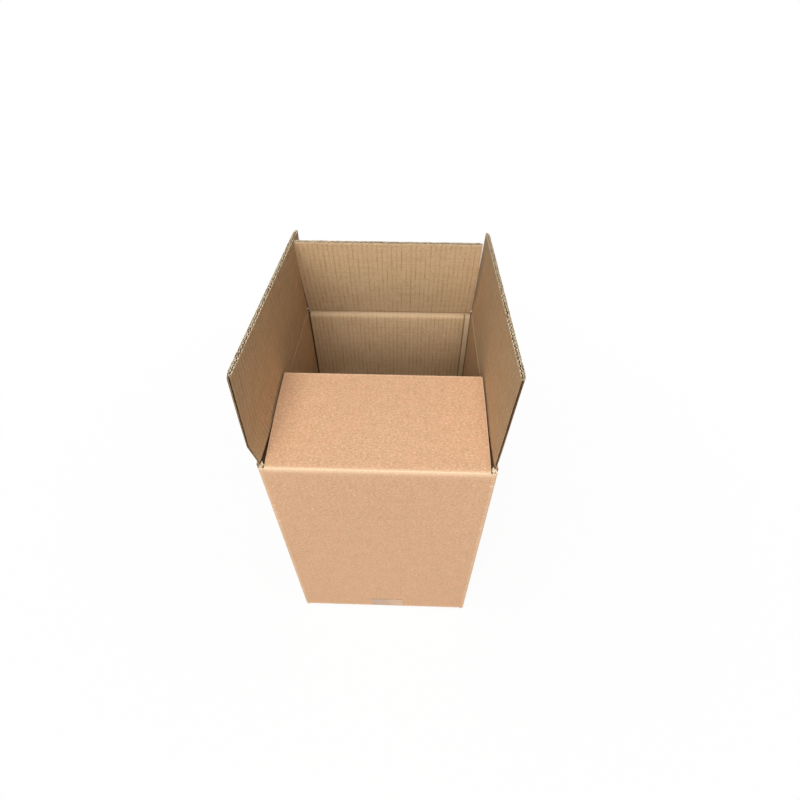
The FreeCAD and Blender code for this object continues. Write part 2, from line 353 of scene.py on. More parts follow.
# the slot-cut sides, darkened as painted shade in the open flutes; the same brown paints the
# shade in the inner corners
slot_edge = cut_paper("slot_edge", rgb(132, 104, 76), rgb(84, 62, 42))
finishes = [outside, inside, cut_edge, fluting, slot_edge]
OUTSIDE, INSIDE, CUT, SLOT_AND_SHADE = map(finishes.index, (outside, inside, cut_edge, slot_edge))

# %% [markdown]
# ## The fluted board
#
# A modeller could draw one flute and copy it, but then every flute is the same and
# the ends line up like a comb. Geometry Nodes can instead bend a whole grid into a
# wave with one formula, and let noise crush it where the knife went through. The
# group below makes one sheet of paper. The board is five of them on top of each other.


# %% One sheet of paper, flat or wavy
def new_tree(name, numbers, counts):
    """An empty geometry tree with named inputs."""
    tree = bpy.data.node_groups.new(name, "GeometryNodeTree")
    socket = tree.interface.new_socket
    for word in numbers:
        socket(name=word, in_out="INPUT", socket_type="NodeSocketFloat")
    for word in counts:
        socket(name=word, in_out="INPUT", socket_type="NodeSocketInt")
    socket(name="Geometry", in_out="OUTPUT", socket_type="NodeSocketGeometry")
    start = tree.nodes.new("NodeGroupInput")
    return tree, {socket.name: socket for socket in start.outputs if socket.name}


def finish_tree(tree, geometry):
    fill(tree.nodes.new("NodeGroupOutput"), {"Geometry": geometry})


def nearness(distance, reach):
    """1 at no distance, and down to 0 at reach."""
    part = maths("DIVIDE", distance, reach)
    return maths("SUBTRACT", 1.0, part, clamp=True)


# over what length the wave starts, and how far from its end and sides a sheet is frayed
wave_start = 3 * MM
end_fray = 5 * MM
side_fray = 2 * MM


def paper_tree():
    numbers = ["Width", "Start", "End", "Level", "Wave", "Pitch", "Phase", "Paper", "Ragged"]
    tree, given = new_tree("paper_sheet", numbers, ["Columns", "Rows"])
    grid = {"Size X": given["Width"], "Size Y": 1.0}
    grid |= {"Vertices X": given["Columns"], "Vertices Y": given["Rows"]}
    grid = add("GeometryNodeMeshGrid", grid)
    place = wire(tree, "GeometryNodeInputPosition")
    across = one_of(place, 0)
    part = maths("ADD", one_of(place, 1), 0.5)
    # rows crowd towards the cut end, where the detail is
    left_over = maths("SUBTRACT", 1.0, part)
    eased = maths("SUBTRACT", 1.0, maths("POWER", left_over, 2.2))
    run = maths("SUBTRACT", given["End"], given["Start"])
    along = maths("MULTIPLY_ADD", eased, run, given["Start"])
    from_start = maths("DIVIDE", times(eased, run), wave_start, clamp=True)
    turn = maths("DIVIDE", times(across, 2 * math.pi), given["Pitch"])
    wave = maths("COSINE", maths("ADD", turn, given["Phase"]))
    wave = times(times(wave, given["Wave"]), from_start)
    level = maths("ADD", given["Level"], wave)

    # the knife crushes and frays the last few millimetres
    to_end = maths("SUBTRACT", given["End"], along)
    near_end = maths("POWER", nearness(to_end, end_fray), 2.0)
    half = times(given["Width"], 0.5)
    to_side = maths("SUBTRACT", half, maths("ABSOLUTE", across))
    near_side = times(nearness(to_side, side_fray), 0.6)
    near_cut = maths("MAXIMUM", near_end, near_side)
    spot = add("ShaderNodeCombineXYZ", [across, along, given["Level"]])
    fray_and_painted_shade = []
    for scale, detail in ((70.0, 1.0), (420.0, 2.0)):
        grain = {"Vector": spot, "Scale": scale, "Detail": detail}
        grain = add("ShaderNodeTexNoise", grain, 1)
        fray_and_painted_shade.append(vectors("SUBTRACT", grain, (0.5, 0.5, 0.5)))
    strength = times(near_cut, given["Ragged"])
    fray_and_painted_shade = {0: vectors("ADD", *fray_and_painted_shade), "Scale": strength}
    fray_and_painted_shade = add("ShaderNodeVectorMath", fray_and_painted_shade, operation="SCALE")
    target = add("ShaderNodeCombineXYZ", [across, along, level])
    target = {"Geometry": grid, "Position": vectors("ADD", target, fray_and_painted_shade)}
    sheet = add("GeometryNodeSetPosition", target)
    thick = {"Mesh": sheet, "Offset Scale": given["Paper"], "Individual": False}
    thick = add("GeometryNodeExtrudeMesh", thick)
    under = add("GeometryNodeFlipFaces", {"Mesh": sheet})
    join = tree.nodes.new("GeometryNodeJoinGeometry")
    for side in (thick, under):
        fill(join, {0: side})
    closed = {"Geometry": join.outputs[0], "Distance": 1e-6}
    closed = add("GeometryNodeMergeByDistance", closed)
    finish_tree(tree, closed)
    return tree


paper_sheet = paper_tree()
print("one sheet of paper:", len(paper_sheet.nodes), "nodes")


# %% Five sheets make the board
def board_tree():
    numbers = ["Width", "Start", "End", "Ragged", "Flute Shift", "Pale Part"]
    tree, given = new_tree("fluted_board", numbers, ["Rows"])
    levels = [0.0, liner, liner + outer_space, liner + outer_space + middle_liner]
    outer_wave = (outer_space - medium) / 2
    inner_wave = (inner_space - medium) / 2
    # each sheet's outer level, its wave, pitch and thickness, and its points a flute
    layers = [
        (levels[0], 0.3 * washboard, outer_pitch, liner, 4),
        (levels[1] + outer_wave, outer_wave, outer_pitch, medium, 12),
        (levels[2], 0.0, inner_pitch, middle_liner, 4),
        (levels[3] + inner_wave, inner_wave, inner_pitch, medium, 14),
        (board - liner, washboard, inner_pitch, liner, 6),
    ]
    join = tree.nodes.new("GeometryNodeJoinGeometry")
    for number, (level, wave, pitch, thickness, points) in enumerate(layers):
        node = tree.nodes.new("GeometryNodeGroup")
        node.node_tree = paper_sheet
        flutes = maths("DIVIDE", given["Width"], pitch)
        columns = maths("CEIL", times(flutes, points))
        values = {"Level": level, "Wave": wave, "Pitch": pitch, "Paper": thickness}
        values["Columns"] = columns
        for name in ("Width", "Start", "End", "Ragged", "Rows"):
            values[name] = given[name]
        # the wavy sheets can be shifted, and the outer one starts half a wave later
        if number in (1, 3):
            start = math.pi if number == 1 else 0.0
            values["Phase"] = maths("ADD", given["Flute Shift"], start)
        fill(node, values)
        paint = {"Geometry": node.outputs[0], "Material": fluting}
        fill(join, {0: add("GeometryNodeSetMaterial", paint)})

    # the board's two faces show its liners, its cut end the pale inside of the paper,
    # and its slot-cut sides a darker brown, partly the paper and partly painted shade in the open
    # flutes, with a pale part outermost
    normal = wire(tree, "GeometryNodeInputNormal")
    place = wire(tree, "GeometryNodeInputPosition")
    facing_side, facing_end, facing_up = (one_of(normal, axis) for axis in range(3))
    across = maths("ABSOLUTE", one_of(place, 0))
    height = one_of(place, 2)
    edge = maths("MULTIPLY_ADD", given["Width"], 0.5, -0.4 * MM)
    at_end = maths("GREATER_THAN", facing_end, 0.5)
    at_side = maths("GREATER_THAN", maths("ABSOLUTE", facing_side), 0.5)
    faces_out = maths("LESS_THAN", facing_up, -0.6)
    faces_in = maths("GREATER_THAN", facing_up, 0.6)
    skin = 0.4 * liner
    pale_height = times(given["Pale Part"], board)
    choices = [
        (cut_edge, at_end, 1.0),
        (slot_edge, at_side, maths("GREATER_THAN", across, edge)),
        (inside, at_side, maths("LESS_THAN", height, pale_height)),
        (outside, faces_out, maths("LESS_THAN", height, skin)),
        (inside, faces_in, maths("GREATER_THAN", height, board - skin)),
    ]
    geometry = add("GeometryNodeRealizeInstances", {"Geometry": join.outputs[0]})
    for finish, facing, where in choices:
        paint = {"Geometry": geometry, "Material": finish}
        paint["Selection"] = times(facing, where)
        geometry = add("GeometryNodeSetMaterial", paint)
    finish_tree(tree, geometry)
    return tree


fluted_board = board_tree()
print("the board of five sheets:", len(fluted_board.nodes), "nodes")


# %% Run a tree and take its mesh as plain points and faces
def run_tree(tree, **values):
    """The tree's result as (points, faces, which finish each face has)."""
    holder = bpy.data.objects.new("holder", bpy.data.meshes.new("holder"))
    bpy.context.scene.collection.objects.link(holder)
    modifier = holder.modifiers.new("tree", "NODES")
    modifier.node_group = tree
    sockets = {item.name: item.identifier for item in tree.interface.items_tree}
    for name, value in values.items():
        modifier[sockets[name.replace("_", " ").title()]] = value
    bpy.context.view_layer.update()
    evaluated = holder.evaluated_get(bpy.context.evaluated_depsgraph_get())
    mesh = bpy.data.meshes.new_from_object(evaluated)
    points = np.zeros(3 * len(mesh.vertices))
    mesh.vertices.foreach_get("co", points)
    slots = [finishes.index(material) if material else CUT for material in mesh.materials]
    faces = [tuple(face.vertices) for face in mesh.polygons]
    kinds = [slots[face.material_index] for face in mesh.polygons]
    holder.modifiers.clear()
    bpy.data.objects.remove(holder)
    bpy.data.meshes.remove(mesh)
    return points.reshape(-1, 3), faces, kinds


# %% [markdown]
# ## From scraps to pieces
#
# A wall, its fold and its crease are one sheet on the real box. So each piece here is
# put together from scraps of mesh that share their edges, and it ends up as a single
# object. Each point also gets its place on the flat sheet, as a UV, and a number for
# its wear and painted light: above nothing for wear and painted highlight, below
# nothing for painted shade.


# %% Scraps of mesh, and how they become one piece
def scrap(panel, points, faces, kinds, wear, angles=None, sheet=None):
    """Points in the panel's own frame, or in the box's when there is no panel.

    They are turned about the crease when angles are given.
    """
    points = np.asarray(points, float)
    turned = points if angles is None else panel.lean(points, angles)
    return {
        "points": panel.place(turned) if panel else turned,
        "faces": faces,
        "kinds": kinds,
        "sheet": points[:, :2] if sheet is None else sheet,
        "wear": np.zeros(len(points)) + wear,
    }


def make_piece(name, scraps, materials=finishes, sharp=35):
    """One object out of scraps, with its finishes, its sheet UV, and its wear and painted light.
    """

    def joined(what):
        return np.concatenate([item[what] for item in scraps])

    faces, start = [], 0
    for item in scraps:
        faces += [[corner + start for corner in face] for face in item["faces"]]
        start += len(item["points"])
    mesh = bpy.data.meshes.new(name)
    mesh.from_pydata(joined("points").tolist(), [], faces)
    for material in materials:
        mesh.materials.append(material)
    mesh.polygons.foreach_set("material_index", joined("kinds"))
    shell = bmesh.new()
    shell.from_mesh(mesh)
    bmesh.ops.recalc_face_normals(shell, faces=shell.faces[:])
    shell.to_mesh(mesh)
    shell.free()
    corners = np.zeros(len(mesh.loops), int)
    mesh.loops.foreach_get("vertex_index", corners)
    flat = joined("sheet")[corners].ravel()
    mesh.uv_layers.new(name="sheet").data.foreach_set("uv", flat)
    mesh.attributes.new("wear", "FLOAT", "POINT").data.foreach_set("value", joined("wear"))
    mesh.shade_smooth()
    mesh.set_sharp_from_angle(angle=math.radians(sharp))
    piece = bpy.data.objects.new(name, mesh)
    bpy.context.scene.collection.objects.link(piece)
    triangles = sum(len(face.vertices) - 2 for face in mesh.polygons)
    print(f"{name}: {triangles} triangles")
    return piece


# %% A closed profile swept along a row of columns
def sweep(grid, kinds, cap=SLOT_AND_SHADE):
    """The grid is columns of profile points; each side of the profile has its finish."""
    columns, count = grid.shape[:2]
    faces, finish = [], []
    for column in range(columns - 1):
        here, beyond = column * count, (column + 1) * count
        for side in range(count):
            other = (side + 1) % count
            faces.append((here + side, here + other, beyond + other, beyond + side))
            finish.append(kinds[side])
    faces.append(tuple(range(count)))
    faces.append(tuple(range((columns - 1) * count, columns * count)))
    return grid.reshape(-1, 3), faces, finish + [cap, cap]


def swept_along(panel, profile, kinds):
    """A flap's profile (up from its crease, inset), swept from side to side."""
    half = flap_half[panel.kind]
    across = np.linspace(-half, half, int(2 * half / (2 * MM)))
    columns = np.broadcast_arrays(across[:, None], panel.crease + profile[:, 0], profile[:, 1])
    return sweep(np.stack(columns, -1), kinds)


def arc(centre, radius, start, end, count):
    """Points (up, inset) on an arc, angles in degrees from the up direction."""
    turns = np.radians(np.linspace(start, end, count))
    return [(centre[0] + radius * math.cos(t), centre[1] + radius * math.sin(t)) for t in turns]


# %% [markdown]
# ## Creases
#
# A crease is a line where the board was crushed by a blunt wheel, so that it folds
# there. Outside it is a shallow groove. Inside the board thins down to the two liners,
# in a wedge that gives room for the fold. The paper is stretched there and goes pale,
# and that pale band is also a painted highlight, where the crease catches the light.

# %% The shape of a crease
crease_gap = 0.3 * MM
groove_reach = 7 * MM
wedge_run = {"end": 8.4 * MM, "side": 2.0 * MM}
# how far the pale band reaches each side of a crease: stretched paper, and a painted highlight
pale_reach = {"end": 5.5 * MM, "side": 1.2 * MM}


def groove(distance):
    """How deep the outer face is pressed in, that far from the crease."""
    near = np.clip(1 - np.abs(distance) / groove_reach, 0, 1)
    return crease_depth * near * near * (3 - 2 * near)


def wedge(distance, kind):
    """How deep the inner face lies, that far from the crease."""
    part = np.clip((np.abs(distance) - crease_gap) / wedge_run[kind], 0, 1)
    return crease_depth + (board - crease_depth) * (1 - (1 - part) ** 1.5)


def bell(distance, width):
    """1 at no distance, fading both ways: how far a mark or a dent spreads."""
    return np.exp(-((np.asarray(distance) / width) ** 2))


outer_steps = np.array([0.3, 1.3, 2.6, 4, 5.5, 7]) * MM
inner_steps = np.array([0.3, 0.9, 1.8, 3, 4.5, 6.3, 8.7]) * MM

# %% [markdown]
# ## Walls
#
# Each wall is one profile, from the root of its bottom flap, round the bottom fold, up
# to the crease and down again inside, swept from corner to corner. A flat board would
# look like wood, so the sheet bows a little, and the flutes print through on the inside.


# %% One wall
def wall_profile(panel):
    """Points (up, inset), the finish of each side, and how many points are outside."""
    fold, top = panel.fold, panel.crease
    heights = np.linspace(fold + 12 * MM, top - 14 * MM, 12)
    outside_line = [(fold, bottom_root)]
    outside_line += arc((fold + fold_radius, fold_radius), fold_radius, 180, 270, 6)
    outside_line += [(height, 0.0) for height in heights]
    outside_line += [(top - step, groove(step)) for step in outer_steps[::-1]]
    inside_line = [(top - step, wedge(step, panel.kind)) for step in inner_steps]
    inside_line += [(height, board) for height in heights[::-1]]
    bend = 1.5 * MM
    inside_line += arc((fold + board + bend, board + bend), bend, 270, 180, 4)
    inside_line += [(fold + board, bottom_root)]
    profile = np.array(outside_line + inside_line)
    kinds = [OUTSIDE] * (len(outside_line) - 1) + [CUT] + [INSIDE] * (len(inside_line) - 1)
    return profile, kinds + [CUT], len(outside_line)


bow_depth = 0.8 * MM


def bow(across, up, panel):
    """How far the sheet bows inwards there."""
    spot = Vector((across * 9, up * 7, 10.0 * list(panels).index(panel.name) + seed))
    return (0.5 + 0.5 * smooth_noise.noise(spot)) * bow_depth


def ease(value, low, high):
    """0 below low, 1 above high, and smooth between them."""
    part = np.clip((value - low) / (high - low), 0, 1)
    return part * part * (3 - 2 * part)


# how far each wall has gone hollow at its middle in storage, and the strips at its
# foot, its crease and its corners where it is less so
hollow = {"front": 3.5 * MM, "back": 4 * MM, "left": 1 * MM, "right": 4 * MM}
hollow_start, hollow_stop, hollow_side = 55 * MM, 22 * MM, 90 * MM
# over which height above the fold, then below the crease, the bow and the washboard of
# the flutes come in, and how far from a corner the bow does
bow_margins = (10 * MM, 40 * MM), (8 * MM, 40 * MM)
flute_margins = (board, board + 12 * MM), (5 * MM, 9 * MM)
bow_side = 25 * MM
# the slit at each inner corner, painted dark as shade, and the strip pressed flat beside the
# glued joint
slit_depth = 4.5 * MM
slit_start, slit_width = 0.8 * MM, 1.9 * MM
slit_margin = (6 * MM, 20 * MM)
slit_shade_width = 1.6 * MM
band_start, band_stop = 9.0 * MM, 9.4 * MM
# columns a flute, and the extra ones beside the corners for the slit and the strip
columns_a_flute = 6
corner_columns = [0.4, 0.8, 1.1, 1.5, 1.9, 2.3, 8.6, 9.0, 9.3, 9.6, 9.9, 10.2, 10.5, 10.9]
# how high and how long the painted shade on the inner face reaches beside a front slot
slot_shade_height, slot_shade_length = 6 * MM, 150 * MM


def between(panel, up, above_fold, below_crease):
    """0 at the wall's bottom fold and at its crease, and 1 between the margins."""
    return ease(up - panel.fold, *above_fold) * ease(panel.crease - up, *below_crease)


def joint_band(to_corner):
    """Beside the glued joint the board is pressed flat, with a dark step at its edge."""
    pressed = 0.8 * MM * (1 - ease(to_corner, band_start, band_stop))
    return pressed + 0.9 * MM * bell(to_corner - band_stop - 0.5 * MM, 0.7 * MM)


def front_slot_shade(panel, points, wear):
    """Painted shade: beside the front slots the inner face is painted dark, in the shade of the
    front flap.
    """
    from_slot = half_length["side"] + points[:, 0] * panel.across[1]
    reach = slot_shade_height * (1 - from_slot / slot_shade_length)
    fray_and_painted_shade = ease(reach - np.abs(points[:, 1] - panel.crease), -1 * MM, 1.5 * MM)
    return np.where(fray_and_painted_shade > 0.05, -fray_and_painted_shade, wear)


def wall_scrap(panel):
    """A wall with its bottom fold and the lower side of its crease."""
    profile, kinds, outer_count = wall_profile(panel)
    half = half_length[panel.kind]
    count = int(2 * half / inner_pitch * columns_a_flute)
    close = half - np.array(corner_columns) * MM
    across = np.unique(np.concatenate([np.linspace(-half, half, count), close, -close]))
    up, level = profile.T
    inner = np.arange(len(profile)) >= outer_count
    # how much of each effect a point gets, by its height
    bowed = between(panel, up, *bow_margins)
    part = (up - hollow_start) / (panel.crease - hollow_stop - hollow_start)
    deepest = hollow[panel.name] * np.sin(math.pi * np.clip(part, 0, 1))
    on_face = between(panel, up, *flute_margins) * inner
    pinched = ease(panel.crease - up, *slit_margin)
    deep = np.minimum(1.0, (level / board) ** 3) * inner
    grid = np.zeros((len(across), len(profile), 3))
    for column, place in enumerate(across):
        to_corner = half - abs(place)
        bows = np.array([bow(place, height, panel) for height in up])
        inset = level + ease(to_corner, 0, bow_side) * bowed * bows
        inset += deepest * ease(to_corner, 0, hollow_side)
        inset += washboard * on_face * math.cos(2 * math.pi * place / inner_pitch)
        pinch = slit_depth * (1 - ease(to_corner, slit_start, slit_width)) * pinched
        if panel.name == "back" and place > 0:
            pinch = np.maximum(0.2 * pinch, joint_band(to_corner))
        inset -= pinch * deep
        grid[column] = np.stack([np.full(len(up), place), up, inset], 1)
    points, faces, finish = sweep(grid, kinds, INSIDE)
    # painted shade: the slit at each inner corner is painted dark, but not at the glued joint
    for face, corners in enumerate(faces):
        place = points[corners[0], 0]
        joint = panel.name in ("back", "right") and place > 0
        if finish[face] == INSIDE and not joint and half - abs(place) < slit_shade_width:
            finish[face] = SLOT_AND_SHADE
    # the crease goes pale: stretched paper, and a painted highlight along it
    wear = bell(points[:, 1] - panel.crease, pale_reach[panel.kind]) * 0.9
    # beside the glued joint: a painted highlight on the pressed strip, and painted shade along
    # the step at its edge
    if panel.name == "back":
        band = ease(points[:, 0], half - band_stop, half - band_start)
        wear = np.maximum(wear, 0.5 * band)
        step = bell(half - points[:, 0] - band_stop - 0.8 * MM, 1.3 * MM)
        wear = np.where(step > 0.2, -0.55 * step, wear)
    outward = np.tile(~inner, len(across))
    # painted shade on the side walls' inner faces beside the front slots
    if panel.kind == "side":
        wear = np.where(outward, wear, front_slot_shade(panel, points, wear))
    fold_wear = bell(points[:, 1] - panel.fold - 1.5 * MM, 3 * MM) * outward
    wear = np.where(wear < 0, wear, np.maximum(wear, 0.5 * fold_wear))
    return scrap(panel, points, faces, finish, wear)


# %% [markdown]
# ## Corners and the glued joint
#
# The upright corners are creases too, folded once and left. Outside they are rounded
# by the thickness of the sheet, and inside they are a sharp line, painted dark as shade.
# At one corner the sheet's two ends meet, and a tab of one is glued flat against the other.


# %% Corner posts
quarter_turn = np.radians(np.linspace(0, 90, 6))


def corner_post(side, end):
    """The sheet round one corner, seen from above as an L, swept up the corner."""
    leg = fold_reach
    loop = [(leg, 0.0)]
    for turn in quarter_turn:
        loop.append((fold_radius * (1 - math.sin(turn)), fold_radius * (1 - math.cos(turn))))
    loop += [(0.0, leg), (board, leg), (board, board), (leg, board)]
    top = end_crease - crease_gap
    heights = np.linspace(layer_step, top - 8 * MM, 22)
    heights = np.append(heights, top - np.array([6, 4, 2, 0.6, 0]) * MM)
    panel = panels["left" if side < 0 else "right"]
    grid = np.zeros((len(heights), len(loop), 3))
    for row, height in enumerate(heights):
        slit = slit_depth * ease(top - height, *slit_margin)
        for corner, (from_side, from_end) in enumerate(loop):
            # the leg along the side wall stands up to that wall's own, higher crease
            taller = from_side < board + 0.1 * MM and from_end > 2.5 * MM
            lift = layer_step * (height - layer_step) / (top - layer_step)
            from_side -= slit if from_side == board else 0.0
            from_end -= slit if from_end == board else 0.0
            across = (half_depth - from_end) * end * panel.across[1]
            up = height + (lift if taller else 0.0)
            if taller:
                from_side = max(from_side, groove(side_crease - up))
            grid[row, corner] = (across, up, from_side)
    # the post's inner faces are painted dark, as shade in the corner
    kinds = [OUTSIDE] * (len(loop) - 4) + [SLOT_AND_SHADE] * 4
    points, faces, finish = sweep(grid, kinds, CUT)
    from_end = half_depth - np.abs(points[:, 0])
    on_bend = 0.4 * bell(points[:, 2] + from_end - 2 * MM, 2.5 * MM)
    # the crease's pale band, stretched paper and a painted highlight, runs on over the post's top
    on_crease = 0.9 * bell(points[:, 1] - top, pale_reach["end"])
    return scrap(panel, points, faces, finish, np.maximum(on_bend, on_crease))


# %% Torn paper at the foot of each slot
def torn_web(side, end, tall):
    """A ragged edge of liner that the slot's knife left standing on a corner."""
    panel = panels["left" if side < 0 else "right"]
    sunk, root = 0.25 * MM, 0.5 * MM
    path = [(fold_reach * (1 - part), sunk) for part in np.linspace(0, 0.85, 12)]
    path += [(sunk, fold_reach * part) for part in np.linspace(0.1, 0.5, 5)]
    base = end_crease - crease_gap - root
    grid = np.zeros((len(path), 4, 3))
    for column, (from_side, from_end) in enumerate(path):
        across = (half_depth - from_end) * end * panel.across[1]
        ragged = smooth_noise.noise(Vector((column * 0.9, 7.0 * side, 5.0 * end)))
        height = base + root + tall * (0.7 + 0.6 * ragged)
        deeper_side = from_side + (liner if from_side < from_end else 0)
        deeper_across = across - (liner if from_side >= from_end else 0) * end * panel.across[1]
        grid[column] = [
            (across, base, from_side),
            (across, height, from_side),
            (deeper_across, height - 0.3 * MM, deeper_side),
            (deeper_across, base, deeper_side),
        ]
    points, faces, finish = sweep(grid, [OUTSIDE, CUT, CUT, CUT], CUT)
    return scrap(panel, points, faces, finish, 0.7)


# %% The glue tab
tab_width = 40 * MM
tab_thickness = 3.5 * MM
tab_drop = 20 * MM
tab_taper = 10 * MM
tab_hold = 4 * MM
tab_sunk = 0.3 * MM


def glue_tab():
    """The side wall's end, wrapped round the back corner and glued outside."""
    edge = half_width
    centre = fold_radius - tab_thickness
    loop = [(edge, tab_hold), (edge, centre)]
    for turn in quarter_turn[1:]:
        across = edge - fold_radius * (1 - math.cos(turn))
        loop.append((across, centre - fold_radius * math.sin(turn)))
    loop += [(edge - part * tab_width, -tab_thickness) for part in (0.3, 0.6, 0.95)]
    loop += [(edge - tab_width, -tab_thickness + 0.5 * MM), (edge - tab_width, tab_sunk)]
    loop += [(edge - tab_hold, tab_sunk), (edge - tab_hold, tab_hold)]
    low, high = layer_step + tab_drop, end_crease - tab_drop
    parts = np.concatenate([[0, 0.0015], np.linspace(0.01, 0.99, 20), [0.9985, 1]])
    grid = np.zeros((len(parts), len(loop), 3))
    for row, part in enumerate(parts):
        for corner, (across, inset) in enumerate(loop):
            slope = tab_taper * (edge - across) / tab_width
            start, stop = low + slope, high - slope
            grid[row, corner] = (across, start + part * (stop - start), inset)
    kinds = [OUTSIDE] * (len(loop) - 5) + [CUT] * 5
    points, faces, finish = sweep(grid, kinds)
    to_edge = points[:, 0] - (edge - tab_width)
    return scrap(panels["back"], points, faces, finish, 0.5 * bell(to_edge, 1.5 * MM))


# %% The folded walls
walls = [wall_scrap(panel) for panel in panels.values()]
box_corners = [(side, end) for side in (-1, 1) for end in (-1, 1)]
posts = [corner_post(side, end) for side, end in box_corners]
web_height = {-1: 2.2 * MM, 1: 4.5 * MM}
webs = [torn_web(side, end, web_height[end]) for side, end in box_corners]
folded_walls = make_piece("folded_walls", walls + posts + webs + [glue_tab()])
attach(folded_walls, "box")
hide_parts("box_body")

# %% [markdown]
# ## Bottom flaps
#
# Four flaps close the bottom: first the two inner ones, which leave a wide gap, then
# the two outer ones, whose edges nearly meet over the tape. They are the same fluted
# board, so the same tree makes them.


# %% Bottom flaps
def bottom_flap(panel):
    half, reach = flap_half[panel.kind], seam_reach[panel.kind]
    points, faces, kinds = run_tree(
        fluted_board, width=2 * half, start=bottom_root, end=reach, rows=4, ragged=0.3 * MM
    )
    local = np.stack([points[:, 0], panel.fold + points[:, 2], points[:, 1]], 1)
    placed = scrap(panel, local, faces, kinds, 0.0, sheet=points[:, :2])
    # the tape is pressed into the outer pair, a little deeper than it is thick
    in_channel = np.abs(placed["points"][:, 0] - tape_shift) < tape_width / 2 + 0.3 * MM
    lowest = np.where(in_channel, tape_recess, 0.0)
    placed["points"][:, 2] = np.maximum(placed["points"][:, 2], lowest)
    return placed


tape_width = 60 * MM
tape_shift = 6 * MM
tape_recess = 0.17 * MM
bottom_flaps = make_piece(
    "bottom_flaps", [bottom_flap(panel) for panel in panels.values()]
)
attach(bottom_flaps, "box")

# %% [markdown]
# ## Top flaps
#
# Each top flap is a crushed root at the crease and a fluted board beyond it, turned
# together about the crease axis. The root and the wall never touch, so a thin strip of
# crushed board joins them.

# %% How handling has left each flap
# how many degrees further out it leans at its two ends
twist = {"left": (0.7, -1.5), "right": (0.8, 1.4)}
# how much of the board's thickness the slot's knife left, far from the crease and near
# it, how wide that edge is, and how much thinner the far edge is
slot_crush = {"left": (0.62, 0.4), "right": (0.45, 0.36), "front": (0.7, 0.6), "back": (0.6, 0.6)}
crush_width = {"side": 9 * MM, "end": 4 * MM}
far_thinning, thin_reach = 0.12, 3 * MM
# how far it is bent outwards, and where that starts; the front flap hangs inside, so
# outwards is upwards for it
bulge = {"left": 7 * MM, "back": -5 * MM, "front": 2.5 * MM}
bulge_start = 6.5 * MM
# millimetres that a side flap reaches over its slots: in front near the crease and far
# from it, then the same behind
overreach = {"left": ((7, 5), (3, 0)), "right": ((5.5, 0), (3, 0))}
front_narrowed = 0.9 * MM
# how much of the slot's edge, from its outer side, is as pale as the inside liner
pale_part = {"left": 0.42}


def bulged_by(panel, points):
    """How far handling has bent the flap outwards there: a side flap most in front."""
    rise = points[:, 1] - panel.crease - bulge_start
    part = np.clip(rise / (flap_length[panel.kind] - bulge_start), 0, 1)
    frontal = 0.5 - 0.5 * points[:, 0] / flap_half[panel.kind] * panel.across[1]
    if panel.kind == "side":
        rounded = np.sin(0.5 * math.pi * np.minimum(part / 0.2, 1))
        share = frontal**2 * np.where(part < 0.2, rounded, (1 - part) / 0.8)
    else:
        share = np.sin(math.pi * part)
    return bulge.get(panel.name, 0.0) * share


def stretched(panel, points):
    """A side flap reaches a little over its slots, and the front flap is narrower."""
    if panel.name == "front":
        points[:, 0] *= 1 - front_narrowed / flap_half["end"]
    if panel.kind == "side":
        far = ease(points[:, 1] - panel.crease, 0, flap_length["side"])
        in_front = points[:, 0] * panel.across[1] < 0
        front, behind = (near + (last - near) * far for near, last in overreach[panel.name])
        share = points[:, 0] / flap_half["side"]
        points[:, 0] += share * np.where(in_front, front, behind) * MM
    return points


def shaped(panel, points):
    """The flap's points, thinned at its cut edges and bulged by handling."""
    points = np.array(points, float)
    half, length = flap_half[panel.kind], flap_length[panel.kind]
    rise = points[:, 1] - panel.crease
    to_side = half - np.abs(points[:, 0])
    far, near = slot_crush[panel.name]
    left = far + (near - far) * (1 - ease(rise, 0, 0.8 * length))
    thickness = 1 - (1 - left) * (1 - ease(to_side, 0, crush_width[panel.kind]))
    thickness *= 1 - far_thinning * (1 - ease(length - rise, 0, thin_reach))
    # pressed towards the inner face, but on the front flap towards the outer one
    face = groove(rise) if panel.name == "front" else wedge(rise, panel.kind)
    points[:, 2] = face + (points[:, 2] - face) * thickness
    points[:, 2] -= bulged_by(panel, points)
    return stretched(panel, points)


def angles_at(panel, across):
    """The flap's lean at each place across it."""
    first, last = np.radians(twist.get(panel.name, (0.0, 0.0)))
    part = across / (2 * flap_half[panel.kind]) + 0.5
    return lean[panel.name] + first + (last - first) * part


# %% A flap's crushed root and its board
# how far the pale band reaches up an end flap from its crease: stretched paper, and a painted
# highlight
flap_pale = 2.2 * MM


def flap_root(panel):
    """The part of a top flap beside its crease, where the board is crushed."""
    outer_line = [(step, groove(step)) for step in outer_steps] + [(crush_length, 0.0)]
    inner_line = [(step, wedge(step, panel.kind)) for step in inner_steps[::-1]]
    profile = np.array(outer_line + [(crush_length, board)] + inner_line)
    kinds = [OUTSIDE] * (len(outer_line) - 1) + [CUT] + [INSIDE] * len(inner_line) + [CUT]
    points, faces, finish = swept_along(panel, profile, kinds)
    # the crease's pale band: stretched paper, and a painted highlight
    strength, width = {"side": (0.4, 1.2 * MM), "end": (1.0, flap_pale)}[panel.kind]
    wear = strength * bell(points[:, 1] - panel.crease, width)
    # painted shade on the side flaps' inner roots beside the front slots
    if panel.kind == "side":
        inner = np.arange(len(points)) % len(profile) > len(outer_line)
        wear = np.where(inner, front_slot_shade(panel, points, wear), wear)
    angles = angles_at(panel, points[:, 0])
    return scrap(panel, shaped(panel, points), faces, finish, wear, angles)


